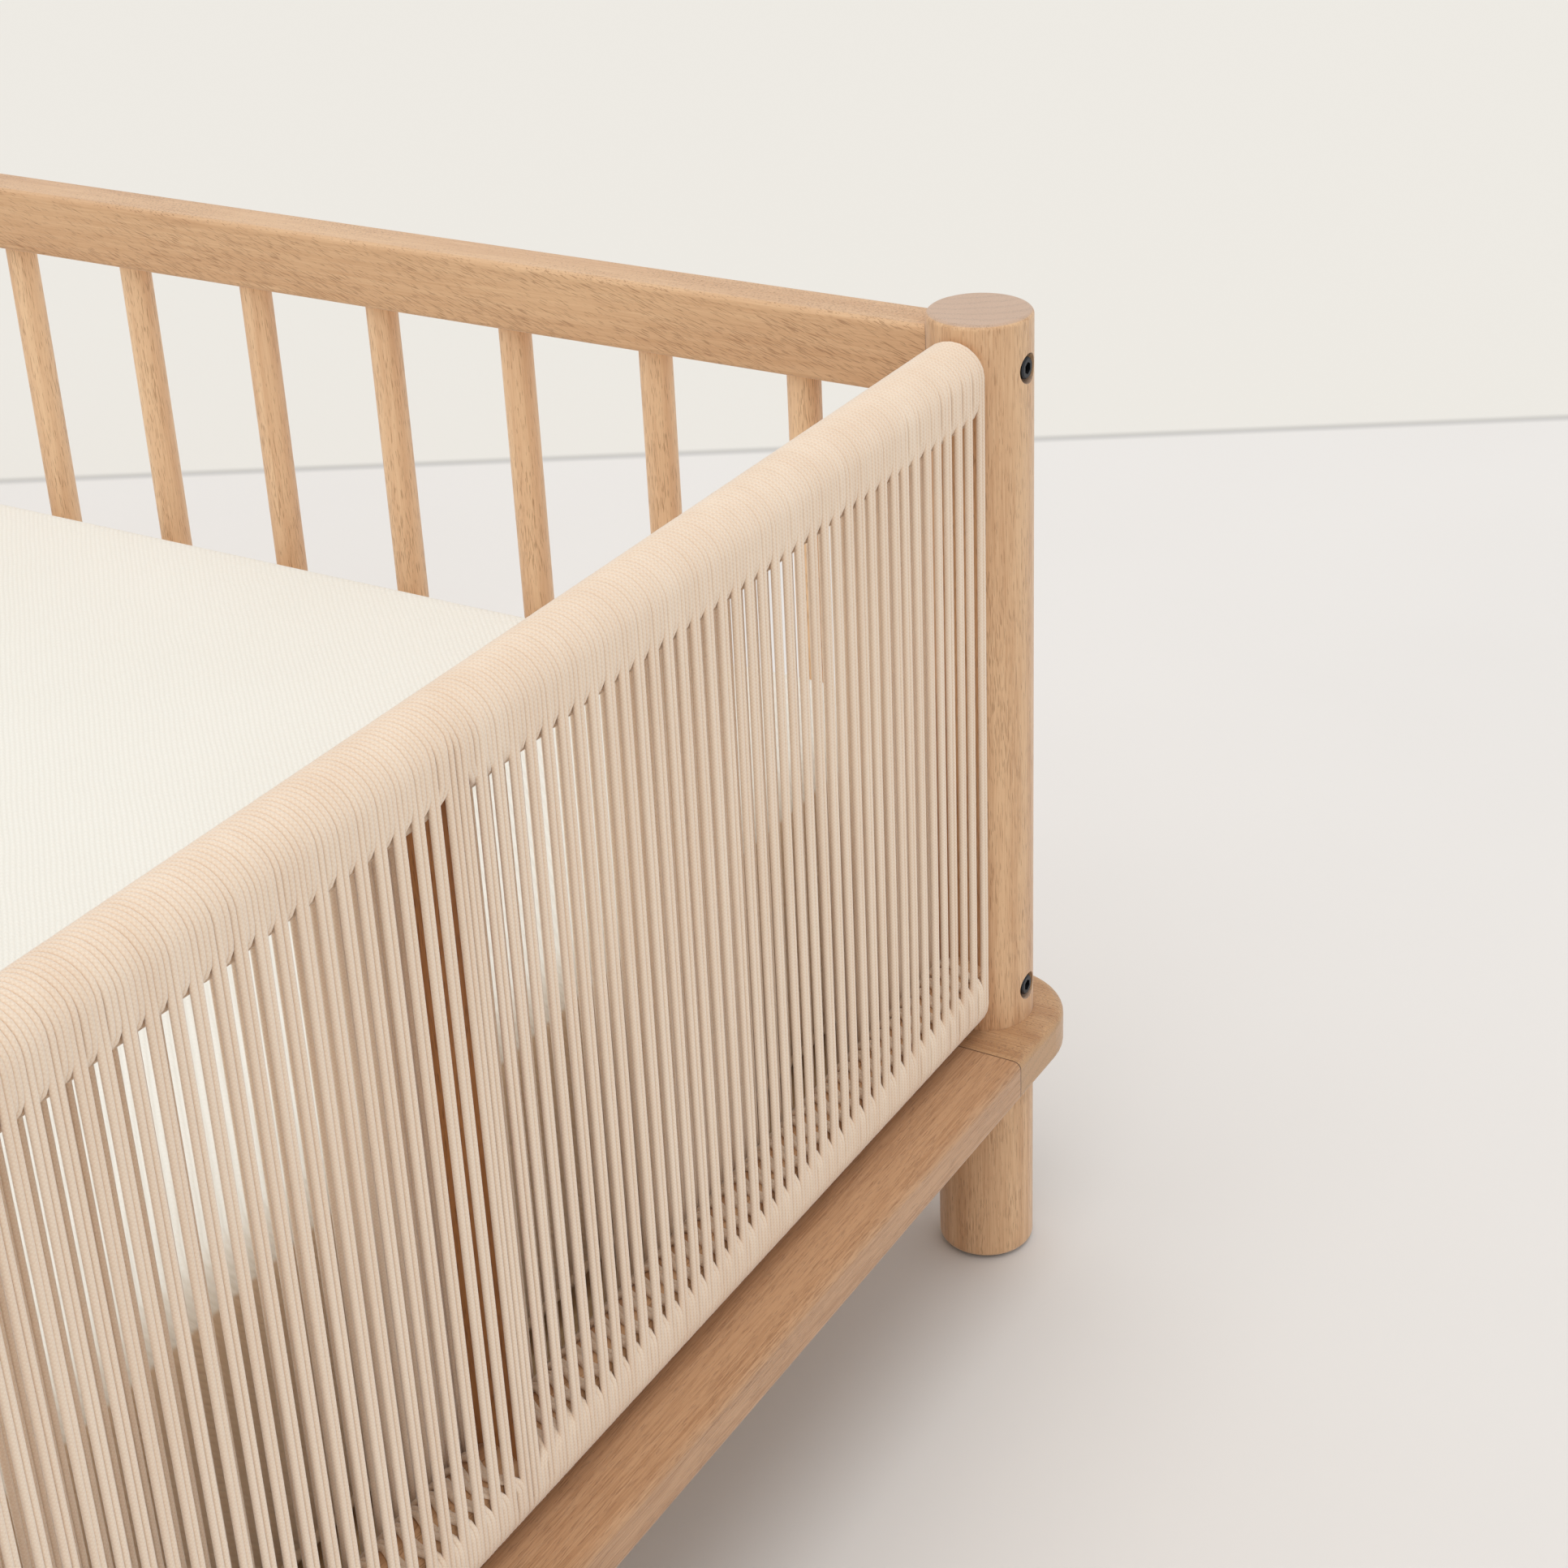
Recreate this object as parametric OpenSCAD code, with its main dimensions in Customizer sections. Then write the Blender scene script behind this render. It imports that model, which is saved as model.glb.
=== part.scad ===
// Baby crib with round oak posts, a board base ring, spindle sides and cord-wound ends.
// A slat base lies on the inner ledge of the ring, and a mattress lies on the slat base.
// Millimetres, +Z up, +X along the crib, origin on the floor at the centre of the footprint.

/* [Overall] */
// Height of the post tops above the floor
crib_h = 502; // [470:1:600]
// Distance between post axes across the crib
span_y = 822; // [782:10:862]
// Number of spindles in each side
spindle_count = 17; // [13:1:18]
// Distance between spindle axes
spindle_pitch = 81; // [76:1:81]
// Distance from a post axis to the nearest spindle axis
spindle_end = 90.5; // [86:0.5:92]

/* [Posts] */
// Diameter of the posts
post_d = 48; // [46:1:50]
// Radius of the rounded edge round the top of a post
post_top_r = 2.5; // [1:0.5:4]
// Radius of the rounded edge round the foot of a post
post_foot_r = 3; // [1:0.5:4]
// Thickness of the glide under each post
glide_t = 2; // [1.5:0.5:3]

/* [Base ring] */
// Height of the top of the ring above the floor
ring_top = 141; // [131:1:151]
// Thickness of the ring's boards
ring_t = 22; // [22:1:24]
// Width of the ring's boards
ring_w = 78; // [76:1:82]
// Radius of the rounded outer edges of the ring
ring_edge_r = 4; // [2:0.5:5]

/* [Side rails] */
// Thickness of the side rails and of the cores of the wound bars
rail_t = 25; // [24:1:26]
// Height of the side rails and of the cores of the wound bars
rail_h = 34; // [34:1:36]
// Radius of the rounded long edges of the side rails
rail_edge_r = 3; // [1:0.5:4]
// Drop from the post tops to the top rails
rail_drop = 7; // [6:1:10]
// Gap between the bottom rails and the ring
rail_gap = 1; // [0.5:0.5:2]
// Diameter of the spindles
spindle_d = 16; // [15:0.5:17]

/* [Cord winding] */
// Diameter of the cord
cord_d = 2.6; // [2.2:0.1:2.7]
// Distance from one pair of strands to the next
pair_pitch = 9.7; // [9.2:0.1:10.4]
// Gap between the winding on the lower bar and the ring
winding_gap = 4; // [2:0.5:5]
// Width of the strut in the middle of each wound end
strut_w = 11; // [8:1:12]
// Depth of the strut, from the outer strands towards the inner ones
strut_t = 24; // [18:1:24]

/* [Bed] */
// Thickness of the slats
slat_t = 10; // [9:1:12]
// Width of the slats
slat_w = 68; // [60:1:70]
// Height of the battens under the slats
batten_h = 13.6; // [12:0.2:15]
// Width of the battens under the slats
batten_w = 22; // [18:1:24]
// Thickness of the mattress
mattress_h = 160; // [120:5:170]
// Thickness of the mattress cover
cover_t = 3; // [2:0.5:4]

/* [Hidden] */
$fn = 64;
STRAND_FN = 24;
SLAT_COUNT = 12;

post_r = post_d / 2;
span_x = (spindle_count - 1) * spindle_pitch + 2 * spindle_end;
post_x = span_x / 2;
post_y = span_y / 2;
cut = 1;                    // how far a cutter reaches past a face
fit_gap = 0.1;              // clearance between a round piece and its bore, on the radius
seat_gap = 0.5;             // clearance past the end of a piece in its blind hole
cope_r = post_r + fit_gap;  // hollow end of a rail or bar where it meets a post

// From a post axis to the square end of a rail before it is hollowed
cope_reach = sqrt(post_r * post_r - rail_t * rail_t / 4) - cut;

ring_half = ring_w / 2;
ring_mid = ring_top - ring_t / 2;
ring_inner_r = 1;

top_rail_z = crib_h - rail_drop - rail_h / 2;
bottom_rail_z = ring_top + rail_gap + rail_h / 2;
tenon_d = 12;
tenon_l = 12;

core_r = rail_t / 2;
wound_r = core_r + cord_d;
winding_rise = 1;           // from the top rails up to the top of the winding
top_bar_z = crib_h - rail_drop + winding_rise - cord_d - rail_h / 2;
bottom_bar_z = ring_top + winding_gap + cord_d + rail_h / 2;
core_round = rail_h / 2 - core_r;     // from a bar's middle to the centre of its round edge
winding_end = 1;            // least gap between the winding and a post
pair_count = floor((span_y - post_d - 2 * winding_end) / pair_pitch);
winding_l = pair_count * pair_pitch;
strand_x = core_r + cord_d / 2;
strand_gap = 0.1;           // between the two strands of a pair
strand_lift = sqrt(wound_r * wound_r - core_r * core_r) + fit_gap;
web_low = bottom_bar_z + core_round + strand_lift;
web_high = top_bar_z - core_round - strand_lift;
strut_tenon_t = 15;         // depth of a strut's tenons, which are as wide as the strut
strut_tenon_l = 14;
strut_cope = 5;             // how far a strut's sides reach up beside a bar's round edge
strut_edge_r = 1.5;

bolt_d = 6;
bolt_head_d = 10;
bolt_head_h = 6.4;
head_chamfer = 0.7;         // at the rim of a bolt's head
bolt_recess_d = 14;
bolt_recess = 7;            // from a post's outermost line to the seat of a bolt head
bolt_cross_top = 10;        // from a top rail's bolt down to the bar bolt that crosses it
bolt_cross_low = 13;        // from a bottom rail's bolt up to the bar bolt that crosses it
socket_w = 5;               // width across the flats of a hexagon socket
socket_deep = 3.5;
nut_d = 10;
nut_l = 20;
nut_in = 62;                // from a post axis to a barrel nut
bar_nut_l = 14;
bolt_l = nut_in + post_r - bolt_recess + nut_d / 2;
pin_d = 6;
pin_rise = 10;              // from a rail's bolt up to its dowel pin
bar_pin_top = 8;            // from a top rail's bolt up to the bar's dowel pin
bar_pin_low = 5;            // from a bottom rail's bolt down to the bar's dowel pin
pin_in_post = 12;
pin_in_rail = 20;

corner_bolt_d = 8;
corner_head_d = 13;
corner_head_h = 6;
corner_recess_d = 15;
corner_recess = 8;
corner_socket_w = 6;
corner_nut_d = 12;
corner_nut_l = 16;
corner_nut_in = 40;         // from a ring joint to the barrel nut in the end stretcher
ring_pin_d = 10;
ring_pin_l = 32;
ring_pin_side = 25;         // from a post axis to each dowel of the ring joint

glide_d = 40;
glide_pin_d = 5;
glide_pin_l = 12;

base_gap_x = 7;             // from the winding to the slat base
base_gap_y = 3.5;           // from the side rails to the slat base
base_l = span_x - 2 * (wound_r + base_gap_x);
base_w = span_y - rail_t - 2 * base_gap_y;
rest_gap = 0.2;             // between pieces that rest on each other but lift apart
base_z = ring_top + rest_gap;
slat_z = base_z + batten_h;
slat_step = (base_l - slat_w) / (SLAT_COUNT - 1);
screw_d = 3.5;
screw_head_d = 7;
screw_head_h = 1.8;
screw_sink = 0.4;           // from the top of a slat down to the flat of a screw's head
screw_l = 20;
batten_y = base_w / 2 - batten_w / 2;

mattress_in_x = 6;          // from the ends of the slat base to the mattress
mattress_in_y = 4;          // from the sides of the slat base to the mattress
mattress_l = base_l - 2 * mattress_in_x;
mattress_w = base_w - 2 * mattress_in_y;
mattress_r = 35;
mattress_z = slat_z + slat_t + rest_gap;

// ---- Outlines and bars ----

// A rectangle with round corners, centred on the origin
module round_rect(w, h, r) {
    square([w - 2 * r, h], center = true);
    square([w, h - 2 * r], center = true);
    for (x = [-1, 1], y = [-1, 1])
        translate([x * (w / 2 - r), y * (h / 2 - r)]) circle(r);
}

// The outline of a bar with fully round top and bottom edges
module stadium(w, h) {
    square([w, h - w], center = true);
    for (y = [-1, 1])
        translate([0, y * (h - w) / 2]) circle(w / 2);
}

// Extrudes an outline drawn in Y and Z along X, centred on the origin
module along_x(length) {
    rotate([90, 0, 90]) linear_extrude(length, center = true) children();
}

// Extrudes an outline drawn in X and Z along Y, centred on the origin
module along_y(length) {
    rotate([90, 0, 0]) linear_extrude(length, center = true) children();
}

// Places a copy at each of the four post axes, with its signs in $sx and $sy
module at_posts() {
    for ($sx = [-1, 1], $sy = [-1, 1])
        translate([$sx * post_x, $sy * post_y, 0]) children();
}

// A straight hole or pin from a post's outermost line inwards, along X or along Y
module inward_x(sx, from, length, d) {
    translate([sx * (post_r - from), 0, 0]) rotate([0, -90 * sx, 0]) cylinder(h = length, d = d);
}
module inward_y(sy, from, length, d) {
    translate([0, sy * (post_r - from), 0]) rotate([90 * sy, 0, 0]) cylinder(h = length, d = d);
}

// ---- Heights of the fixings in a post ----

// Each row holds the heights of the rail's bolt, the bar's bolt, the rail's pin and the bar's pin
top_fixings = [
    top_rail_z, top_rail_z - bolt_cross_top, top_rail_z + pin_rise, top_rail_z + bar_pin_top
];
bottom_fixings = [
    bottom_rail_z, bottom_rail_z + bolt_cross_low, bottom_rail_z + pin_rise, bottom_rail_z - bar_pin_low
];
fixings = [top_fixings, bottom_fixings];

// ---- Frame ----

module post_blank() {
    h = crib_h - glide_t;
    rotate_extrude() {
        translate([0, post_foot_r]) square([post_r, h - post_foot_r - post_top_r]);
        square([post_r - post_foot_r, h]);
        translate([0, h - post_top_r]) square([post_r - post_top_r, post_top_r]);
        translate([post_r - post_foot_r, post_foot_r]) circle(post_foot_r);
        translate([post_r - post_top_r, h - post_top_r]) circle(post_top_r);
    }
}

module post(sx, sy) {
    color("burlywood") translate([sx * post_x, sy * post_y, 0]) difference() {
        translate([0, 0, glide_t]) post_blank();
        for (f = fixings) {
            translate([0, 0, f[0]]) {
                inward_x(sx, -cut, post_d + 2 * cut, bolt_d + 2 * fit_gap);
                inward_x(sx, -cut, bolt_recess + cut, bolt_recess_d);
            }
            translate([0, 0, f[1]]) {
                inward_y(sy, -cut, post_d + 2 * cut, bolt_d + 2 * fit_gap);
                inward_y(sy, -cut, bolt_recess + cut, bolt_recess_d);
            }
            translate([0, 0, f[2]])
                inward_x(sx, post_d - pin_in_post, pin_in_post + cut, pin_d + 2 * fit_gap);
            translate([0, 0, f[3]])
                inward_y(sy, post_d - pin_in_post, pin_in_post + cut, pin_d + 2 * fit_gap);
        }
        translate([0, 0, ring_mid])
            inward_y(sy, -cut, post_d + 2 * cut, corner_bolt_d + 2 * fit_gap);
        cylinder(h = glide_t + glide_pin_l + seat_gap, d = glide_pin_d + 2 * fit_gap);
    }
}

module foot_glides() {
    color("dimgray") at_posts() {
        cylinder(h = glide_t, d = glide_d);
        cylinder(h = glide_t + glide_pin_l, d = glide_pin_d);
    }
}

// Half the outline of a ring board, from its middle to an edge with rounding r towards +X
module half_board(r) {
    translate([0, -ring_t / 2]) square([ring_half - r, ring_t]);
    translate([0, r - ring_t / 2]) square([ring_half, ring_t - 2 * r]);
    for (z = [-1, 1])
        translate([ring_half - r, z * (ring_t / 2 - r)]) circle(r);
}

// The whole outline, with the ring's outer edge towards +X
module board_outline() {
    half_board(ring_edge_r);
    mirror([1, 0]) half_board(ring_inner_r);
}

// One end of a long stretcher, round outside about the post axis and square at the ring joint
module stretcher_end() {
    rotate_extrude(angle = 90) half_board(ring_edge_r);
    rotate([90, 0, 0]) linear_extrude(ring_half) half_board(ring_edge_r);
}

module long_stretcher(sy) {
    color("tan") difference() {
        mirror([0, sy < 0 ? 1 : 0, 0]) {
            translate([0, post_y, ring_mid])
                rotate([90, 0, 90]) linear_extrude(span_x, center = true) board_outline();
            for (sx = [-1, 1]) mirror([sx < 0 ? 1 : 0, 0, 0])
                translate([post_x, post_y, ring_mid]) stretcher_end();
        }
        at_posts() translate([0, 0, ring_mid]) {
            cylinder(h = 2 * ring_t, r = post_r + fit_gap, center = true);
            translate([0, $sy * (ring_half + cut), 0]) rotate([90 * $sy, 0, 0]) {
                cylinder(h = ring_w + 2 * cut, d = corner_bolt_d + 2 * fit_gap);
                cylinder(h = corner_recess + cut, d = corner_recess_d);
            }
            corner_pin_pair($sy, ring_pin_d + 2 * fit_gap, ring_pin_l + 2 * seat_gap);
        }
    }
}

// The two dowels of a ring joint, half in each board
module corner_pin_pair(sy, d, length) {
    for (x = [-1, 1])
        translate([x * ring_pin_side, -sy * ring_half, 0]) rotate([90, 0, 0])
            cylinder(h = length, d = d, center = true);
}

module end_stretcher(sx) {
    joint_y = post_y - ring_half;
    color("rosybrown") difference() {
        mirror([sx < 0 ? 1 : 0, 0, 0]) translate([post_x, 0, ring_mid])
            along_y(2 * joint_y - 2 * fit_gap) board_outline();
        at_posts() translate([0, 0, ring_mid]) {
            corner_pin_pair($sy, ring_pin_d + 2 * fit_gap, ring_pin_l + 2 * seat_gap);
            translate([0, -$sy * (ring_half - cut), 0]) rotate([90 * $sy, 0, 0])
                cylinder(h = corner_nut_in + corner_nut_d, d = corner_bolt_d + 2 * fit_gap);
            translate([0, -$sy * (ring_half + corner_nut_in), -ring_t / 2 - cut])
                cylinder(h = (ring_t + corner_nut_l) / 2 + cut + seat_gap, d = corner_nut_d + 2 * fit_gap);
        }
    }
}

// ---- Spindle sides ----

module rail_bores(f) {
    at_posts() {
        translate([0, 0, f[0]]) {
            inward_x($sx, 0, nut_in + post_r + nut_d, bolt_d + 2 * fit_gap);
            translate([-$sx * nut_in, 0, -rail_h])
                cylinder(h = rail_h + nut_l / 2 + seat_gap, d = nut_d + 2 * fit_gap);
        }
        translate([0, 0, f[2]])
            inward_x($sx, post_d - cut, pin_in_rail + cut + seat_gap, pin_d + 2 * fit_gap);
        translate([0, 0, f[0] - rail_h]) cylinder(h = 2 * rail_h, r = cope_r);
    }
}

module side_rail(sy, z, f) {
    color("burlywood") difference() {
        translate([0, sy * post_y, z])
            along_x(span_x - 2 * cope_reach) round_rect(rail_t, rail_h, rail_edge_r);
        rail_bores(f);
        for (i = [0 : spindle_count - 1])
            translate([i * spindle_pitch - post_x + spindle_end, sy * post_y, z])
                tenon_bore(z == top_rail_z ? -1 : 1);
    }
}

// A blind hole for a spindle's tenon in the face of a rail that looks up or down
module tenon_bore(up) {
    translate([0, 0, up * rail_h / 2]) rotate([up > 0 ? 180 : 0, 0, 0]) translate([0, 0, -cut])
        cylinder(h = tenon_l + cut + seat_gap, d = tenon_d + 2 * fit_gap);
}

module side_spindles(sy) {
    low = bottom_rail_z + rail_h / 2;
    high = top_rail_z - rail_h / 2;
    color("burlywood") for (i = [0 : spindle_count - 1])
        translate([i * spindle_pitch - post_x + spindle_end, sy * post_y, 0]) {
            translate([0, 0, low]) cylinder(h = high - low, d = spindle_d);
            translate([0, 0, low - tenon_l]) cylinder(h = high - low + 2 * tenon_l, d = tenon_d);
        }
}

// ---- Wound ends ----

module end_bar(sx, z, f) {
    color("burlywood") difference() {
        translate([sx * post_x, 0, z]) along_y(span_y - 2 * cope_reach) stadium(rail_t, rail_h);
        at_posts() {
            translate([0, 0, f[1]]) {
                inward_y($sy, 0, nut_in + post_r + nut_d, bolt_d + 2 * fit_gap);
                translate([0, -$sy * nut_in, -rail_h])
                    cylinder(h = rail_h + bar_nut_l / 2 + seat_gap, d = nut_d + 2 * fit_gap);
            }
            translate([0, 0, f[3]])
                inward_y($sy, post_d - cut, pin_in_rail + cut + seat_gap, pin_d + 2 * fit_gap);
            translate([0, 0, z - rail_h]) cylinder(h = 2 * rail_h, r = cope_r);
        }
        strut_bar(sx, strut_tenon_t + 2 * fit_gap, strut_w + 2 * fit_gap, strut_tenon_l + seat_gap);
    }
}

// An upright bar in the middle of an end, which reaches past the near edge of each bar's core
module strut_bar(sx, t, w, past) {
    low = bottom_bar_z + rail_h / 2 - past;
    high = top_bar_z - rail_h / 2 + past;
    translate([sx * post_x, 0, low]) linear_extrude(high - low) round_rect(t, w, strut_edge_r);
}

// The strut that holds two bars apart, hollowed to fit their round edges
module end_strut(sx) {
    color("burlywood") {
        difference() {
            strut_bar(sx, strut_t, strut_w, strut_cope);
            for (z = [bottom_bar_z, top_bar_z])
                translate([sx * post_x, 0, z]) along_y(2 * strut_w)
                    stadium(rail_t + 2 * fit_gap, rail_h + 2 * fit_gap);
        }
        strut_bar(sx, strut_tenon_t, strut_w, strut_tenon_l);
    }
}

// The closed layer of cord round a bar, which leaves out the strut
module cord_wrap(sx, z) {
    color("wheat") difference() {
        translate([sx * post_x, 0, z]) along_y(winding_l) difference() {
            stadium(2 * wound_r, rail_h + 2 * cord_d);
            stadium(rail_t + fit_gap, rail_h + fit_gap);
        }
        strut_bar(sx, strut_t + 2 * fit_gap, strut_w + 2 * fit_gap, rail_h / 2);
    }
}

// The pairs of strands between the bars, in the outer or the inner plane of an end
module cord_web(sx, side) {
    color("wheat") for (i = [0 : pair_count - 1], s = [-1, 1])
        translate([
            sx * (post_x + side * strand_x),
            (i + 0.5) * pair_pitch - winding_l / 2 + s * (cord_d + strand_gap) / 2,
            web_low
        ]) cylinder(h = web_high - web_low, d = cord_d, $fn = STRAND_FN);
}

// ---- Fixings of the frame ----

// A socket-head bolt along +Z, with the seat of its head at z = 0
module socket_bolt(d, length, head_d, head_h, socket) {
    difference() {
        union() {
            translate([0, 0, -head_h])
                cylinder(h = head_chamfer, d1 = head_d - 2 * head_chamfer, d2 = head_d);
            translate([0, 0, head_chamfer - head_h]) cylinder(h = head_h - head_chamfer, d = head_d);
            cylinder(h = length, d = d);
        }
        translate([0, 0, -head_h - cut])
            cylinder(h = socket_deep + cut, d = socket / cos(30), $fn = 6);
    }
}

module side_rail_bolts() {
    color("dimgray") at_posts() for (f = fixings)
        translate([$sx * (post_r - bolt_recess), 0, f[0]]) rotate([0, -90 * $sx, 0])
            socket_bolt(bolt_d, bolt_l, bolt_head_d, bolt_head_h, socket_w);
}

module end_bar_bolts() {
    color("dimgray") at_posts() for (f = fixings)
        translate([0, $sy * (post_r - bolt_recess), f[1]]) rotate([90 * $sy, 0, 0])
            socket_bolt(bolt_d, bolt_l, bolt_head_d, bolt_head_h, socket_w);
}

// An upright barrel nut, with the bore for its bolt along X when turn is 0 and along Y when it is 90
module barrel_nut(d, length, bore_d, turn) {
    difference() {
        cylinder(h = length, d = d, center = true);
        rotate([0, 90, turn]) cylinder(h = d + 2 * cut, d = bore_d + 2 * fit_gap, center = true);
    }
}

module barrel_nuts() {
    color("silver") at_posts() for (f = fixings) {
        translate([-$sx * nut_in, 0, f[0]]) barrel_nut(nut_d, nut_l, bolt_d, 0);
        translate([0, -$sy * nut_in, f[1]]) barrel_nut(nut_d, bar_nut_l, bolt_d, 90);
    }
}

module dowel_pins() {
    color("beige") at_posts() for (f = fixings) {
        translate([0, 0, f[2]])
            inward_x($sx, post_d - pin_in_post + seat_gap, pin_in_post + pin_in_rail - seat_gap, pin_d);
        translate([0, 0, f[3]])
            inward_y($sy, post_d - pin_in_post + seat_gap, pin_in_post + pin_in_rail - seat_gap, pin_d);
    }
}

module corner_bolts() {
    color("dimgray") at_posts()
        translate([0, $sy * (ring_half - corner_recess), ring_mid]) rotate([90 * $sy, 0, 0])
            socket_bolt(corner_bolt_d, ring_w - corner_recess + corner_nut_in + corner_nut_d / 2,
                corner_head_d, corner_head_h, corner_socket_w);
}

module corner_nuts() {
    color("silver") at_posts() translate([0, -$sy * (ring_half + corner_nut_in), ring_mid])
        barrel_nut(corner_nut_d, corner_nut_l, corner_bolt_d, 90);
}

module corner_dowels() {
    color("beige") at_posts() translate([0, 0, ring_mid]) corner_pin_pair($sy, ring_pin_d, ring_pin_l);
}

// ---- Slat base ----

module base_batten_long(sy) {
    color("moccasin") difference() {
        translate([-base_l / 2, sy * batten_y - batten_w / 2, base_z])
            cube([base_l, batten_w, batten_h]);
        for (i = [0 : SLAT_COUNT - 1]) screw_at(i, sy) pilot_hole();
    }
}

module base_batten_short(sx) {
    color("moccasin")
        translate([sx * (base_l - batten_w) / 2, 0, base_z + batten_h / 2])
            cube([batten_w, base_w - 2 * batten_w - 2 * fit_gap, batten_h], center = true);
}

// Moves a screw to one end of slat i, with its head flush in the top of the slat
module screw_at(i, sy) {
    translate([i * slat_step - (base_l - slat_w) / 2, sy * batten_y, slat_z + slat_t]) children();
}

module pilot_hole() {
    translate([0, 0, -screw_l - seat_gap])
        cylinder(h = screw_l + seat_gap + cut, d = screw_d + 2 * fit_gap);
}

// The cone that takes a screw's head in the top of a slat
module countersink() {
    wide = screw_head_d + 4 * fit_gap;
    translate([0, 0, -screw_sink - screw_head_h])
        cylinder(h = screw_head_h, d1 = screw_d + 4 * fit_gap, d2 = wide);
    translate([0, 0, -screw_sink]) cylinder(h = screw_sink + cut, d = wide);
}

module slat(n) {
    color("moccasin") difference() {
        translate([(n - 1) * slat_step - (base_l - slat_w) / 2, 0, slat_z + slat_t / 2])
            cube([slat_w, base_w, slat_t - 2 * fit_gap], center = true);
        for (sy = [-1, 1]) screw_at(n - 1, sy) {
            pilot_hole();
            countersink();
        }
    }
}

module slat_screws() {
    color("silver") for (i = [0 : SLAT_COUNT - 1], sy = [-1, 1]) screw_at(i, sy) {
        translate([0, 0, -screw_l])
            cylinder(h = screw_l - screw_sink - screw_head_h / 2, d = screw_d);
        translate([0, 0, -screw_sink - screw_head_h])
            cylinder(h = screw_head_h, d1 = screw_d, d2 = screw_head_d);
    }
}

// ---- Mattress ----

// The plan of the mattress, smaller by inset all round
module mattress_block(inset, z, h) {
    translate([0, 0, z]) linear_extrude(h)
        round_rect(mattress_l - 2 * inset, mattress_w - 2 * inset, mattress_r - inset);
}

module mattress_core() {
    gap = cover_t + rest_gap;
    color("ivory") mattress_block(gap, mattress_z + gap, mattress_h - 2 * gap);
}

module mattress_cover() {
    color("whitesmoke") difference() {
        mattress_block(0, mattress_z + cover_t, mattress_h - cover_t);
        mattress_block(cover_t, mattress_z, mattress_h - cover_t);
    }
}

module mattress_base_panel() {
    color("whitesmoke") mattress_block(0, mattress_z, cover_t);
}

post(-1, -1);  // post_front_left
post(1, -1);  // post_front_right
post(-1, 1);  // post_back_left
post(1, 1);  // post_back_right
foot_glides();
long_stretcher(-1);  // long_stretcher_front
long_stretcher(1);  // long_stretcher_back
end_stretcher(-1);  // end_stretcher_left
end_stretcher(1);  // end_stretcher_right
side_rail(-1, top_rail_z, top_fixings);  // side_top_rail_front
side_rail(1, top_rail_z, top_fixings);  // side_top_rail_back
side_rail(-1, bottom_rail_z, bottom_fixings);  // side_bottom_rail_front
side_rail(1, bottom_rail_z, bottom_fixings);  // side_bottom_rail_back
side_spindles(-1);  // side_spindles_front
side_spindles(1);  // side_spindles_back
end_bar(-1, top_bar_z, top_fixings);  // end_top_bar_left
end_bar(1, top_bar_z, top_fixings);  // end_top_bar_right
end_bar(-1, bottom_bar_z, bottom_fixings);  // end_bottom_bar_left
end_bar(1, bottom_bar_z, bottom_fixings);  // end_bottom_bar_right
end_strut(-1);  // end_strut_left
end_strut(1);  // end_strut_right
cord_wrap(-1, top_bar_z);  // cord_top_wrap_left
cord_wrap(1, top_bar_z);  // cord_top_wrap_right
cord_wrap(-1, bottom_bar_z);  // cord_bottom_wrap_left
cord_wrap(1, bottom_bar_z);  // cord_bottom_wrap_right
cord_web(-1, 1);  // cord_outer_web_left
cord_web(1, 1);  // cord_outer_web_right
cord_web(-1, -1);  // cord_inner_web_left
cord_web(1, -1);  // cord_inner_web_right
side_rail_bolts();
end_bar_bolts();
barrel_nuts();
dowel_pins();
corner_bolts();
corner_nuts();
corner_dowels();
base_batten_long(-1);  // base_batten_front
base_batten_long(1);  // base_batten_back
base_batten_short(-1);  // base_batten_left
base_batten_short(1);  // base_batten_right
slat(1);  // slat_01
slat(2);  // slat_02
slat(3);  // slat_03
slat(4);  // slat_04
slat(5);  // slat_05
slat(6);  // slat_06
slat(7);  // slat_07
slat(8);  // slat_08
slat(9);  // slat_09
slat(10);  // slat_10
slat(11);  // slat_11
slat(12);  // slat_12
slat_screws();
mattress_core();
mattress_cover();
mattress_base_panel();
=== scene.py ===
"""The looks of a baby crib: oak frame, cord-wound ends, mattress, floor and light. Metres."""

import math

import bmesh
import bpy
import numpy as np
from mathutils import Matrix, Vector
from mathutils.bvhtree import BVHTree


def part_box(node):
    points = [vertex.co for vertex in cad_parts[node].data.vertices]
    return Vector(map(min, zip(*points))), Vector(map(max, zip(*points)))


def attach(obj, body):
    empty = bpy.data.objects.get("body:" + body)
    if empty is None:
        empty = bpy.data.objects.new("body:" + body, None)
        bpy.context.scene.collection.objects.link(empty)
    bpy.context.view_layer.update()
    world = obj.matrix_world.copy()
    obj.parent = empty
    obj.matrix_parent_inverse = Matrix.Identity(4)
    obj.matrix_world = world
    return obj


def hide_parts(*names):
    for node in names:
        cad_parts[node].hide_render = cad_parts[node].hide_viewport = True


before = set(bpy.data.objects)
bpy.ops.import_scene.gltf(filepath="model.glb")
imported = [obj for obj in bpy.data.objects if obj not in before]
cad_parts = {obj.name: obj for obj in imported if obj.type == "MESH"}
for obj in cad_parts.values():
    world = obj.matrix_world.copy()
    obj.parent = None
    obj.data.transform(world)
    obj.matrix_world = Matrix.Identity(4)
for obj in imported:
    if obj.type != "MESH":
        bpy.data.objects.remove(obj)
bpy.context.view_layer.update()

ENDS = {"right": 1, "left": -1}
SIDES = ("front", "back")

# ---- Camera ----

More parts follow.
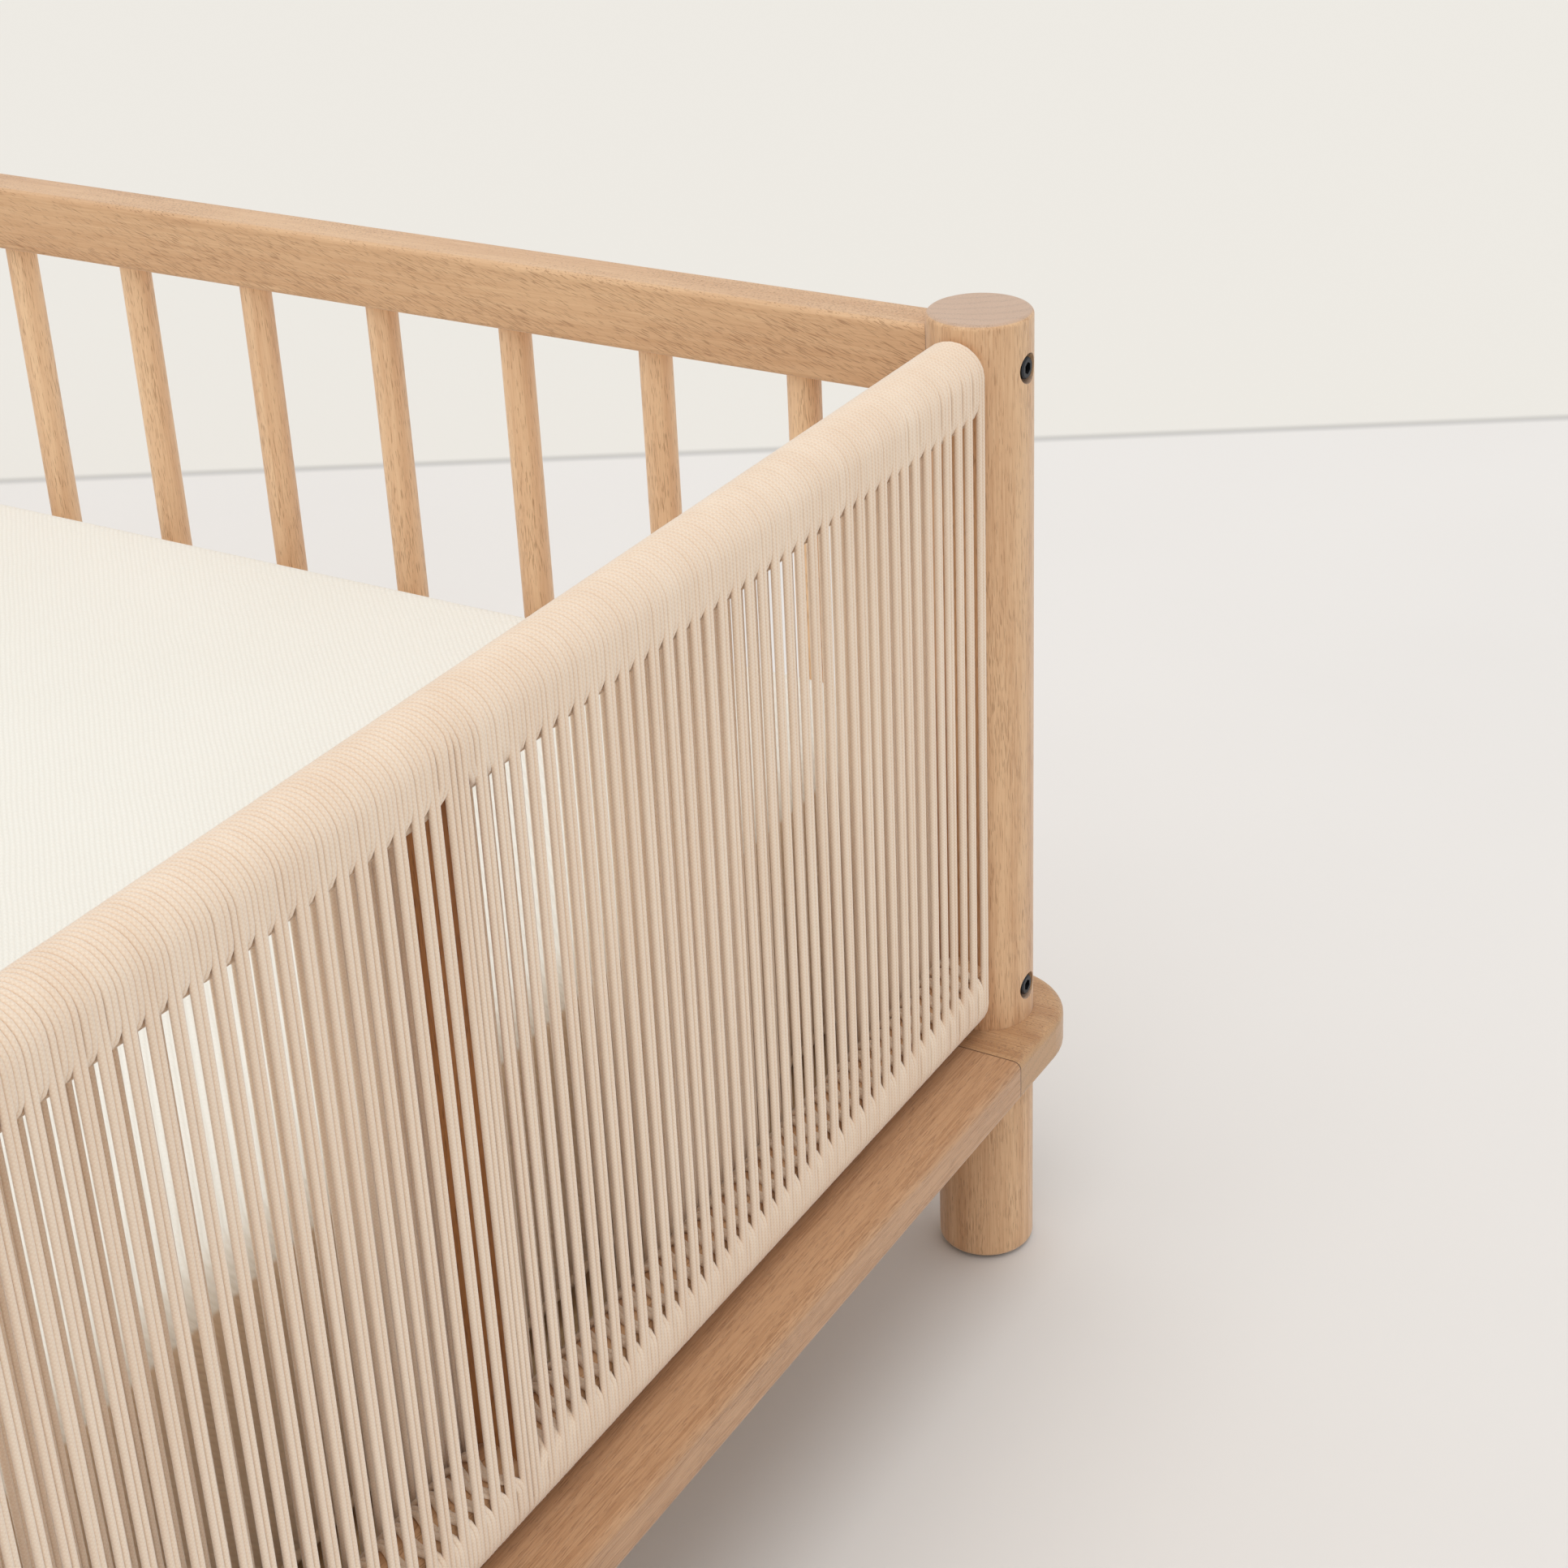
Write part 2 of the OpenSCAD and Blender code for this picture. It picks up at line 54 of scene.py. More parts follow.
CAMERA_FROM_POST = Vector((0.53585, -1.06581, 0.90617))  # from the foot of the back right post
CAMERA_HEADING = math.radians(121.26)
CAMERA_PITCH = math.radians(28.13)
CAMERA_ROLL = math.radians(2.58)
CAMERA_LENS = 64.93


def middle(node):
    low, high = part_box(node)
    return (low + high) / 2


def make_camera():
    forward = Vector((
        math.cos(CAMERA_HEADING) * math.cos(CAMERA_PITCH),
        math.sin(CAMERA_HEADING) * math.cos(CAMERA_PITCH),
        -math.sin(CAMERA_PITCH),
    ))
    level = Vector((math.sin(CAMERA_HEADING), -math.cos(CAMERA_HEADING), 0))
    down = forward.cross(level)
    right = level * math.cos(CAMERA_ROLL) + down * math.sin(CAMERA_ROLL)
    up = level * math.sin(CAMERA_ROLL) - down * math.cos(CAMERA_ROLL)
    post = middle("post_back_right")
    place = Vector((post.x, post.y, 0)) + CAMERA_FROM_POST
    data = bpy.data.cameras.new("camera")
    data.lens = CAMERA_LENS
    data.sensor_width = 36
    data.clip_start = 0.05
    camera = bpy.data.objects.new("camera", data)
    turn = Matrix((right, up, -forward)).transposed().to_4x4()
    camera.matrix_world = Matrix.Translation(place) @ turn
    bpy.context.scene.collection.objects.link(camera)
    bpy.context.scene.camera = camera


make_camera()

# ---- Shader graphs ----


class Graph:
    """Adds nodes to one material and links them."""

    def __init__(self, material):
        """material is an existing material, or the name of a new one."""
        if isinstance(material, str):
            material = bpy.data.materials.new(material)
            material.use_nodes = True
        self.material = material
        self.tree = material.node_tree
        self.shader = self.tree.nodes["Principled BSDF"]

    def add(self, kind, inputs=(), **settings):
        node = self.tree.nodes.new("ShaderNode" + kind)
        for key, value in settings.items():
            setattr(node, key, value)
        for key, value in dict(inputs).items():
            self.put(node.inputs[key], value)
        return node

    def put(self, socket, value):
        if isinstance(value, bpy.types.NodeSocket):
            self.tree.links.new(value, socket)
        else:
            socket.default_value = value

    def math(self, operation, *values, clamp=False):
        node = self.add("Math", operation=operation, use_clamp=clamp)
        for socket, value in zip(node.inputs, values):
            self.put(socket, value)
        return node.outputs[0]

    def stretch(self, vector, scale):
        inputs = {0: vector, 1: scale}
        return self.add("VectorMath", inputs, operation="MULTIPLY").outputs[0]

    def noise(self, vector, scale, detail=2.0, roughness=0.5):
        inputs = {"Vector": vector, "Scale": scale, "Detail": detail, "Roughness": roughness}
        return self.add("TexNoise", inputs).outputs["Fac"]

    def steps(self, value, low, high):
        """0 below low, 1 above high, and smooth between."""
        inputs = {"Value": value, "From Min": low, "From Max": high}
        return self.add("MapRange", inputs, interpolation_type="SMOOTHSTEP").outputs["Result"]

    def mix(self, factor, first, second, blend="MIX"):
        node = self.add("Mix", data_type="RGBA", blend_type=blend)
        self.put(node.inputs["Factor"], factor)
        self.put(node.inputs["A"], first)
        self.put(node.inputs["B"], second)
        return node.outputs["Result"]

    def between(self, factor, low, high):
        """A number from low to high as factor goes from 0 to 1."""
        return self.math("MULTIPLY_ADD", factor, high - low, low)

    def bump(self, height, depth, strength=1.0):
        inputs = {"Height": height, "Distance": depth, "Strength": strength}
        self.put(self.shader.inputs["Normal"], self.add("Bump", inputs).outputs["Normal"])

    def surface(self, colour, roughness, **more):
        self.put(self.shader.inputs["Base Color"], colour)
        self.put(self.shader.inputs["Roughness"], roughness)
        for key, value in more.items():
            self.shader.inputs[key.replace("_", " ")].default_value = value
        return self.material


def linear(red, green, blue):
    """A linear colour from 8-bit screen values."""
    return tuple((c / 255 / 12.92) if c <= 10 else ((c / 255 + 0.055) / 1.055) ** 2.4
                 for c in (red, green, blue)) + (1.0,)


def darker(colour, part):
    """The colour with only this part of its light."""
    return tuple(c * part for c in colour[:3]) + (1.0,)


# ---- Wood ----

RING_PITCH = 0.0075          # from one growth ring to the next
RING_SWAY = 0.03             # how far the growth rings wander
RAY_COUNT = 150              # rays that show on an end, per full turn
PORE_SCALE = 2300            # noise scales, per metre: a larger one gives smaller marks
FIBRE_SCALE = 1300
DOT_SCALE = 1700
FIRST_LEAN = 0.1             # part of the pores' slant that goes along the first way across the grain
GRAIN_DEPTH = 0.0002
MIRROR_MOVE = {"X": 1.3, "Y": 2.9}   # along the grain, between two halves that mirror each other
# The pith, from a post's axis and from the floor, in the two directions across the grain
PITH = {"X": (-0.060, 0.300), "Y": (0.070, 0.040), "Z": (-0.048, 0.078)}
ACROSS = {"X": ("Y", "Z"), "Y": ("X", "Z"), "Z": ("X", "Y")}


def wood_point(graph, place, grain):
    """A point with its first two parts across the grain from the pith, and its third along it.

    The four quarters of the crib mirror each other, so the grain is moved along itself in each.
    """
    corner = middle("post_back_right")
    parts = graph.add("SeparateXYZ", {0: place}).outputs
    from_pith = []
    along = parts[grain]
    for name, pith in zip(ACROSS[grain], PITH[grain]):
        if name == "Z":
            from_pith.append(graph.math("SUBTRACT", parts["Z"], pith))
            continue
        reach = graph.math("SUBTRACT", graph.math("ABSOLUTE", parts[name]), getattr(corner, name.lower()))
        from_pith.append(graph.math("SUBTRACT", reach, pith))
        half = graph.math("SIGN", parts[name])
        along = graph.math("ADD", along, graph.math("MULTIPLY", half, MIRROR_MOVE[name]))
    return graph.add("CombineXYZ", {0: from_pith[0], 1: from_pith[1], 2: along}).outputs[0]


def wood(name, grain, light, dark, end, figure=0.35, fibres=1.1, pores=0.5, slant=0.03):
    """Wood with its grain along one axis.

    figure sets how strongly the growth rings show, fibres how strongly the fine lines show, pores
    how dark the pores are, and slant how much the pores lean across the piece.
    """
    graph = Graph(name)
    coordinates = graph.add("TexCoord").outputs
    point = wood_point(graph, coordinates["Object"], grain)
    parts = graph.add("SeparateXYZ", {0: point}).outputs

    sway = graph.noise(graph.stretch(point, (1, 1, 0.12)), 14, 3.0, 0.5)
    radius = graph.add("VectorMath", {0: graph.stretch(point, (1, 1, 0))}, operation="LENGTH")
    swayed = graph.math("MULTIPLY_ADD", sway, RING_SWAY, radius.outputs["Value"])
    turn = graph.math("MULTIPLY", swayed, 2 * math.pi / RING_PITCH)
    rings = graph.between(graph.math("SINE", turn), 0.5, 1.0)
    tone = graph.noise(graph.stretch(point, (1, 1, 0.08)), 26, 3.0, 0.55)
    fibre = graph.noise(graph.stretch(point, (1, 1, 0.03)), FIBRE_SCALE, 3.0, 0.6)

    leaned = []
    for axis, part in (("X", slant * FIRST_LEAN), ("Y", slant)):
        leaned.append(graph.math("MULTIPLY_ADD", parts["Z"], part, parts[axis]))
    pore_point = graph.add("CombineXYZ", {0: leaned[0], 1: leaned[1], 2: parts["Z"]}).outputs[0]
    pore_field = graph.noise(graph.stretch(pore_point, (1, 1, 0.06)), PORE_SCALE, 1.0, 0.4)
    crowd = graph.noise(graph.stretch(point, (1, 1, 0.2)), 70, 2.0)
    limit = graph.between(graph.steps(crowd, 0.35, 0.65), 0.63, 0.54)
    pore = graph.steps(graph.math("SUBTRACT", pore_field, limit), 0.0, 0.08)

    shade = graph.math("MULTIPLY", rings, figure)
    shade = graph.math("ADD", shade, graph.math("MULTIPLY", graph.steps(tone, 0.3, 0.72), 0.55))
    shade = graph.math("MULTIPLY_ADD", graph.math("SUBTRACT", fibre, 0.5), fibres, shade)
    face = graph.mix(graph.math("MULTIPLY", shade, 1.0, clamp=True), light, dark)
    pore_tint = (dark[0] * 0.52, dark[1] * 0.44, dark[2] * 0.36, 1.0)
    face = graph.mix(graph.math("MULTIPLY", pore, pores), face, pore_tint)

    angle = graph.math("ARCTAN2", parts["Y"], parts["X"])
    ray = graph.noise(graph.add("CombineXYZ", {
        0: graph.math("MULTIPLY", angle, RAY_COUNT / (2 * math.pi)),
        1: graph.math("MULTIPLY", radius.outputs["Value"], 55),
    }).outputs[0], 9, 2.0, 0.6)
    dots = graph.noise(graph.stretch(point, (1, 1, 0)), DOT_SCALE, 2.0, 0.6)
    lines = graph.math("MULTIPLY", graph.steps(rings, 0.6, 1.0), graph.steps(dots, 0.4, 0.6))
    marks = graph.math("MULTIPLY", lines, 0.28)
    marks = graph.math("MULTIPLY_ADD", graph.steps(ray, 0.5, 0.7), 0.22, marks)
    marks = graph.math("MULTIPLY_ADD", graph.steps(dots, 0.52, 0.68), 0.3, marks)
    cut_end = graph.mix(marks, end, darker(end, 0.5))

    facing = graph.add("SeparateXYZ", {0: coordinates["Normal"]}).outputs[grain]
    across = graph.steps(graph.math("ABSOLUTE", facing), 0.6, 0.85)
    height = graph.math("SUBTRACT", graph.math("MULTIPLY", fibre, 0.4), pore)
    graph.bump(height, GRAIN_DEPTH, 0.5)
    gloss = graph.between(fibre, 0.44, 0.6)
    return graph.surface(graph.mix(across, face, cut_end), gloss, Specular_IOR_Level=0.42,
                         Sheen_Weight=0.3, Sheen_Roughness=0.4)


OAK_LIGHT = linear(229, 190, 149)
OAK_DARK = linear(197, 149, 108)
OAK_END = linear(208, 177, 153)
SPINDLE_LIGHT = linear(246, 210, 170)
SPINDLE_DARK = linear(216, 170, 130)
RING_LIGHT = linear(208, 168, 126)
RING_DARK = linear(176, 130, 90)
RING_END = linear(196, 155, 114)
STRETCHER_LIGHT = linear(201, 158, 120)
STRETCHER_DARK = linear(169, 123, 85)
# The struts' tints are darker than the oak elsewhere: painted shade for the dim space inside the cord
# web.
STRUT_PAINTED_SHADE_LIGHT = linear(202, 146, 92)
STRUT_PAINTED_SHADE_DARK = linear(168, 112, 64)
SLAT_LIGHT = linear(232, 205, 165)
SLAT_DARK = linear(206, 168, 120)

# ---- Cord ----

CORD_TINT = linear(250, 233, 213)
# The darker cord colour is partly painted shade in the braid's grooves and partly the cord's own random
# tone.
CORD_GROOVE_SHADE_AND_TONE = linear(229, 199, 170)
BRAID_PITCH = 0.0016
BRAID_STARTS = 4


def cord_material():
    """Braided cotton. U runs along the cord in metres, and V once round it."""
    graph = Graph("braided_cotton")
    along = graph.add("UVMap", uv_map="braid").outputs["UV"]
    parts = graph.add("SeparateXYZ", {0: along}).outputs
    turns = graph.math("DIVIDE", parts["X"], BRAID_PITCH)
    starts = graph.math("MULTIPLY", parts["Y"], BRAID_STARTS)
    ridges = []
    for operation in ("ADD", "SUBTRACT"):
        phase = graph.math("MULTIPLY", graph.math(operation, turns, starts), math.pi)
        ridges.append(graph.math("ABSOLUTE", graph.math("SINE", phase)))
    braid = graph.math("MULTIPLY", ridges[0], ridges[1])
    place = graph.add("TexCoord").outputs["Object"]
    fuzz = graph.noise(place, 2600, 2.0, 0.6)
    tone = graph.noise(graph.stretch(place, (1, 1, 0.12)), 60, 2.0)
    raised = graph.math("ADD", graph.math("MULTIPLY", braid, 0.45), graph.math("MULTIPLY", fuzz, 0.55))
    amount = graph.math("ADD", graph.math("MULTIPLY", raised, 0.8), graph.between(tone, -0.25, 0.3))
    # Painted shade: the colour darkens where the braid is low, in its grooves; fuzz and tone vary it at
    # random.
    colour = graph.mix(graph.math("ADD", amount, 0.25, clamp=True), CORD_GROOVE_SHADE_AND_TONE, CORD_TINT)
    graph.bump(raised, 0.00022, 0.6)
    return graph.surface(colour, 0.86, Sheen_Weight=0.75, Sheen_Roughness=0.5,
                         Specular_IOR_Level=0.2)


# ---- Cloth, metal and plastic ----

METAL_WEAR_SCALE = 500
BOLT_BLACK = linear(52, 54, 58)
ZINC = linear(176, 178, 182)
GLIDE_DARK = linear(96, 92, 88)
GLIDE_LIGHT = linear(124, 119, 113)
KNIT_WALE = 0.0024           # width of one column of stitches
KNIT_COURSE = 0.0032         # height of one stitch
PAINTED_SHADE_BORDER_DROP = 0.022          # from the top of the mattress to where the painted warm shade on its sides begins
PAINTED_SHADE_BORDER_BLEND = 0.003         # height over which that painted shade fades in
KNIT_WANDER = 0.004          # how far the columns of stitches wander
KNIT_LIGHT = linear(251, 250, 243)
# The darker knit colour is partly painted shade in the grooves and partly the cloth's own random tone.
KNIT_GROOVE_SHADE_AND_TONE = linear(238, 236, 226)
# Painted warm shade on the mattress's sides, for the dim light between the mattress and the cord web.
PAINTED_SHADE_BORDER_TINT = linear(224, 201, 174)


def knit_material():
    """A fine knit: slanted columns of small stitches, with a shallow groove between them in painted
    shade; the sides get a painted warm shade.
    """
    graph = Graph("mattress_knit")
    place = graph.add("TexCoord").outputs["Object"]
    parts = graph.add("SeparateXYZ", {0: place}).outputs
    wander = graph.math("MULTIPLY", graph.noise(place, 22, 2.0), KNIT_WANDER)
    slope = graph.math("ADD", graph.math("ADD", parts["X"], parts["Y"]), parts["Z"])
    column = graph.math("DIVIDE", graph.math("ADD", slope, wander), KNIT_WALE * math.sqrt(2))
    row = graph.math("DIVIDE", graph.math("SUBTRACT", parts["X"], parts["Y"]), KNIT_COURSE * math.sqrt(2))
    wale = graph.math("ABSOLUTE", graph.math("SINE", graph.math("MULTIPLY", column, math.pi)))
    lean = graph.math("ADD", row, graph.math("MULTIPLY", wale, 0.45))
    stitch = graph.math("ABSOLUTE", graph.math("SINE", graph.math("MULTIPLY", lean, math.pi)))
    loops = graph.math("MULTIPLY", wale, graph.between(stitch, 0.45, 1.0))
    fuzz = graph.noise(place, 1800, 2.0)
    height = graph.math("ADD", loops, graph.math("MULTIPLY", fuzz, 0.25))
    tone = graph.noise(place, 7, 2.0)
    amount = graph.math("ADD", graph.math("MULTIPLY", height, 0.4), graph.between(tone, 0.15, 0.6))
    # Painted shade: the colour darkens where the knit is low, in the grooves; the tone noise is the
    # cloth's own.
    colour = graph.mix(amount, KNIT_GROOVE_SHADE_AND_TONE, KNIT_LIGHT)
    # Below a line near the top, the sides take a painted warm shade.
    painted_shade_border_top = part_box("mattress_cover")[1].z - PAINTED_SHADE_BORDER_DROP
    above_painted_shade_border = graph.steps(parts["Z"], painted_shade_border_top, painted_shade_border_top + PAINTED_SHADE_BORDER_BLEND)
    colour = graph.mix(above_painted_shade_border, PAINTED_SHADE_BORDER_TINT, colour)
    graph.bump(height, 0.00035, 0.7)
    return graph.surface(colour, 0.9, Sheen_Weight=0.3, Sheen_Roughness=0.5, Specular_IOR_Level=0.2)


def metal_material(name, colour, roughness):
    """Metal with faint wear."""
    graph = Graph(name)
    place = graph.add("TexCoord").outputs["Object"]
    wear = graph.noise(place, METAL_WEAR_SCALE, 3.0, 0.6)
    graph.bump(wear, 0.00006, 0.4)
    tint = graph.mix(wear, colour, tuple(min(c * 1.5, 1) for c in colour[:3]) + (1,))
    return graph.surface(tint, graph.between(wear, roughness - 0.08, roughness + 0.12), Metallic=0.85)


def plastic_material():
    graph = Graph("glide_plastic")
    place = graph.add("TexCoord").outputs["Object"]
    grit = graph.noise(place, 1400, 2.0)
    graph.bump(grit, 0.0001, 0.4)
    tint = graph.mix(grit, GLIDE_DARK, GLIDE_LIGHT)
    return graph.surface(tint, graph.between(grit, 0.5, 0.65))


def paint(node, material):
    """Gives a CAD node's every face one material."""
    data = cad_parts[node].data
    data.materials.clear()
    data.materials.append(material)


JOINT_SHADE_START = 0.0009         # from the end of an end stretcher to where its painted shade line starts
JOINT_SHADE_FULL = 0.0003          # and to where the line is fully dark


def paint_joint_shade(material):
    """Painted shade in the seam: a thin dark line where an end stretcher meets the rounded corner pieces.
    """
    graph = Graph(material)
    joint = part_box("end_stretcher_right")[1].y
    place = graph.add("TexCoord").outputs["Object"]
    along = graph.math("ABSOLUTE", graph.add("SeparateXYZ", {0: place}).outputs["Y"])
    line = graph.steps(along, joint - JOINT_SHADE_START, joint - JOINT_SHADE_FULL)
    colour = graph.shader.inputs["Base Color"].links[0].from_socket
    graph.put(graph.shader.inputs["Base Color"], graph.mix(line, colour, darker(STRETCHER_DARK, 0.35)))


def paint_frame():
    posts = wood("oak_posts", "Z", OAK_LIGHT, OAK_DARK, OAK_END, fibres=1.7, pores=0.42)
    rails = wood("oak_rails", "X", OAK_LIGHT, OAK_DARK, OAK_END, figure=0.12, pores=0.5, slant=0.32)
    spindles = wood("oak_spindles", "Z", SPINDLE_LIGHT, SPINDLE_DARK, OAK_END, figure=0.25)
    ring_long = wood("oak_ring_long", "X", RING_LIGHT, RING_DARK, RING_END, fibres=1.9, slant=0.3)
    ring_end = wood("oak_ring_end", "Y", STRETCHER_LIGHT, STRETCHER_DARK, OAK_END, figure=0.2, fibres=2.6,
                    pores=0.3)
    # Painted shade along the seams at the ends of the end stretchers.
    paint_joint_shade(ring_end)
    cores = wood("bar_core_wood", "Y", OAK_LIGHT, OAK_DARK, OAK_END)
    # The struts' darker tints are painted shade.
    painted_shade_struts = wood("strut_wood_painted_shade", "Z", STRUT_PAINTED_SHADE_LIGHT, STRUT_PAINTED_SHADE_DARK, STRUT_PAINTED_SHADE_LIGHT)
    slats = wood("slat_wood", "Y", SLAT_LIGHT, SLAT_DARK, SLAT_LIGHT, pores=0.15)
    battens = wood("batten_wood", "X", SLAT_LIGHT, SLAT_DARK, SLAT_LIGHT, pores=0.15)
    dowels = wood("beech_dowels", "X", SLAT_LIGHT, SLAT_DARK, SLAT_DARK, pores=0.1)
    black = metal_material("black_bolts", BOLT_BLACK, 0.42)
    zinc = metal_material("zinc_fixings", ZINC, 0.35)
    plastic = plastic_material()
    for side in SIDES:
        for end in ENDS:
            paint(f"post_{side}_{end}", posts)
        paint(f"long_stretcher_{side}", ring_long)
        paint(f"side_top_rail_{side}", rails)
        paint(f"side_bottom_rail_{side}", rails)
        paint(f"side_spindles_{side}", spindles)
        paint(f"base_batten_{side}", battens)
    for end in ENDS:
        paint(f"end_stretcher_{end}", ring_end)
        paint(f"end_top_bar_{end}", cores)
        paint(f"end_bottom_bar_{end}", cores)
        paint(f"end_strut_{end}", painted_shade_struts)
        paint(f"base_batten_{end}", slats)
    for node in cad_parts:
        if node.startswith("slat_") and node != "slat_screws":
            paint(node, slats)
    for node in ("side_rail_bolts", "end_bar_bolts", "corner_bolts"):
        paint(node, black)
    for node in ("barrel_nuts", "corner_nuts", "slat_screws"):
        paint(node, zinc)
    for node in ("dowel_pins", "corner_dowels"):
        paint(node, dowels)
    paint("foot_glides", plastic)


# ---- Cord winding ----

CORD_R = 0.0013
CORD_SIDES = 8
WRAP_R = 0.00134             # the extra wraps press a little into each other
POST_TO_PAIR = 0.0276        # from a post axis to the middle of the nearest pair
FIRST_STEP = 0.0116          # from that pair to the next
PAIR_COUNT = 79
CROWDED_PAIR = 40            # this pair lies close beside the one before it
CROWDED_STEP = 0.0062        # between the middles of the two crowded pairs
CROWDED_HALF = 0.00155       # from the middle of a crowded pair to its strands
CROWDED_MIDDLE = -0.0030     # from the middle of the strut to the middle of the two crowded pairs
PLANE_DRIFT = -0.0029        # from a pair in the outer plane to the same pair in the inner plane
SPREAD_REACH = 9             # pairs over which the cords on a bar even out a wide gap
PAIR_STRAY = 0.0005          # how far a pair may lie from its regular place
STRAND_STRAY = 0.00018       # how far a strand may lie from its place in its pair
STRAND_BOW = 0.0003          # how far the middle of a strand may bow sideways
WRAP_STRAY = 0.00006         # how far an extra wrap may lie from its place
WINDING_SEED = 20
WRAPS_BETWEEN = 2            # extra wraps between one pair and the next
STRUT_CLEAR = 0.0085         # how far a strut pushes away the wraps beside it
STRUT_REACH = 0.045          # how far from a strut the wraps are pushed away from it
WRAP_SHIFT = 0.0042          # how far the extra wraps lean where they turn behind the strands
ARC_STEPS = 12
STRAND_STEPS = 7


def smooth(value, low, high):
    part = min(max((value - low) / (high - low), 0.0), 1.0)
    return part * part * (3 - 2 * part)


def pair_places(half_span):
    """The middle of each pair along the bar, from the post where y is half_span."""
    start = half_span - POST_TO_PAIR
    before = CROWDED_MIDDLE + CROWDED_STEP / 2
    after = CROWDED_MIDDLE - CROWDED_STEP / 2
    near_pitch = (start - FIRST_STEP - before) / (CROWDED_PAIR - 2)
    far_pitch = (after + start) / (PAIR_COUNT - 1 - CROWDED_PAIR)
    places = [start]
    places += [start - FIRST_STEP - near_pitch * number for number in range(CROWDED_PAIR - 1)]
    places += [after - far_pitch * number for number in range(PAIR_COUNT - CROWDED_PAIR)]
    return places


def even_out(places):
    """Where the pairs lie on the bars: their cords close up over the two odd steps.

    Each odd step has the number of the pair after it, what the step has too much, and the share of
    that which the pairs before it take up.
    """
    pitch = places[1] - places[2]
    odd_steps = ((1, FIRST_STEP - pitch, 0.15), (CROWDED_PAIR, CROWDED_STEP - pitch / 2, 0.5))
    moved = list(places)
    for first_after, surplus, share in odd_steps:
        for number in range(PAIR_COUNT):
            away = number - first_after if number >= first_after else first_after - 1 - number
            fade = max(0.0, 1 - away / SPREAD_REACH)
            moved[number] += surplus * fade * ((1 - share) if number >= first_after else -share)
    return moved


def arc(centre, radius, start, count):
    """Half a turn in the plane of x and z, from the angle start, without its end points."""
    return [(centre[0] + radius * math.cos(start + math.pi * i / count),
             centre[1] + radius * math.sin(start + math.pi * i / count)) for i in range(1, count)]


def straight(start, end, count):
    return [(start[0] + (end[0] - start[0]) * i / count, start[1] + (end[1] - start[1]) * i / count)
            for i in range(count + 1)]


def bar_place(place, on_bar, turned):
    """Where a strand lies on a bar. turned goes from 0 at the outer plane to 1 at the inner one."""
    drawn = smooth(turned, 0.0, 0.2) - smooth(turned, 0.8, 1.0)
    return place + (on_bar - place) * drawn + PLANE_DRIFT * smooth(turned, 0, 1)


def strand_loop(low, high, radius, place, on_bar, bow):
    """A strand up the outer plane, over the top bar, down the inner plane and under the bottom bar."""
    up = straight((radius, low), (radius, high), STRAND_STEPS)
    down = straight((-radius, high), (-radius, low), STRAND_STEPS)
    over = arc((0, high), radius, 0, ARC_STEPS)
    under = arc((0, low), radius, math.pi, ARC_STEPS)
    points = []
    for number, (x, z) in enumerate(up):
        points.append((x, place + bow * math.sin(math.pi * number / STRAND_STEPS), z))
    for number, (x, z) in enumerate(over, 1):
        points.append((x, bar_place(place, on_bar, number / ARC_STEPS), z))
    for number, (x, z) in enumerate(down):
        points.append((x, place + PLANE_DRIFT + bow * math.sin(math.pi * number / STRAND_STEPS), z))
    for number, (x, z) in enumerate(under, 1):
        points.append((x, bar_place(place, on_bar, 1 - number / ARC_STEPS), z))
    return points


def beside_strut(place, turned):
    """How far an extra wrap is pushed away from the strut, on the half of the bar facing the web."""
    close = max(0.0, 1 - abs(place) / STRUT_REACH)
    pushed = smooth(turned, 0.0, 0.3) - smooth(turned, 0.7, 1.0)
    return math.copysign(STRUT_CLEAR, place) * close * pushed


def lean(turned):
    """How far an extra wrap has moved sideways on the hidden half of a bar.

    turned goes from 0 where it leaves the outer face to 1 at the inner face.
    """
    leave = smooth(turned, 0.12, 0.37)
    cross = smooth(turned, 0.34, 0.66)
    settle = smooth(turned, 0.63, 0.88)
    return WRAP_SHIFT * (-leave + 2 * cross - settle) + PLANE_DRIFT * smooth(turned, 0.3, 0.7)


def wrap_loop(low, high, radius, place, hidden_above):
    """An extra wrap round one bar. The hidden half is its upper one or its lower one."""
    outer = straight((radius, low), (radius, high), 2)
    inner = straight((-radius, high), (-radius, low), 2)
    above = arc((0, high), radius, 0, ARC_STEPS)
    below = arc((0, low), radius, math.pi, ARC_STEPS)
    points = [(x, place, z) for x, z in outer]
    for number, (x, z) in enumerate(above, 1):
        part = number / ARC_STEPS
        if hidden_above:
            points.append((x, place + lean(part) + beside_strut(place, part), z))
        else:
            points.append((x, place + PLANE_DRIFT * smooth(part, 0, 1), z))
    points += [(x, place + PLANE_DRIFT, z) for x, z in inner]
    for number, (x, z) in enumerate(below, 1):
        part = 1 - number / ARC_STEPS
        if hidden_above:
            points.append((x, place + PLANE_DRIFT * smooth(part, 0, 1), z))
        else:
            points.append((x, place + lean(part) + beside_strut(place, part), z))
    return points


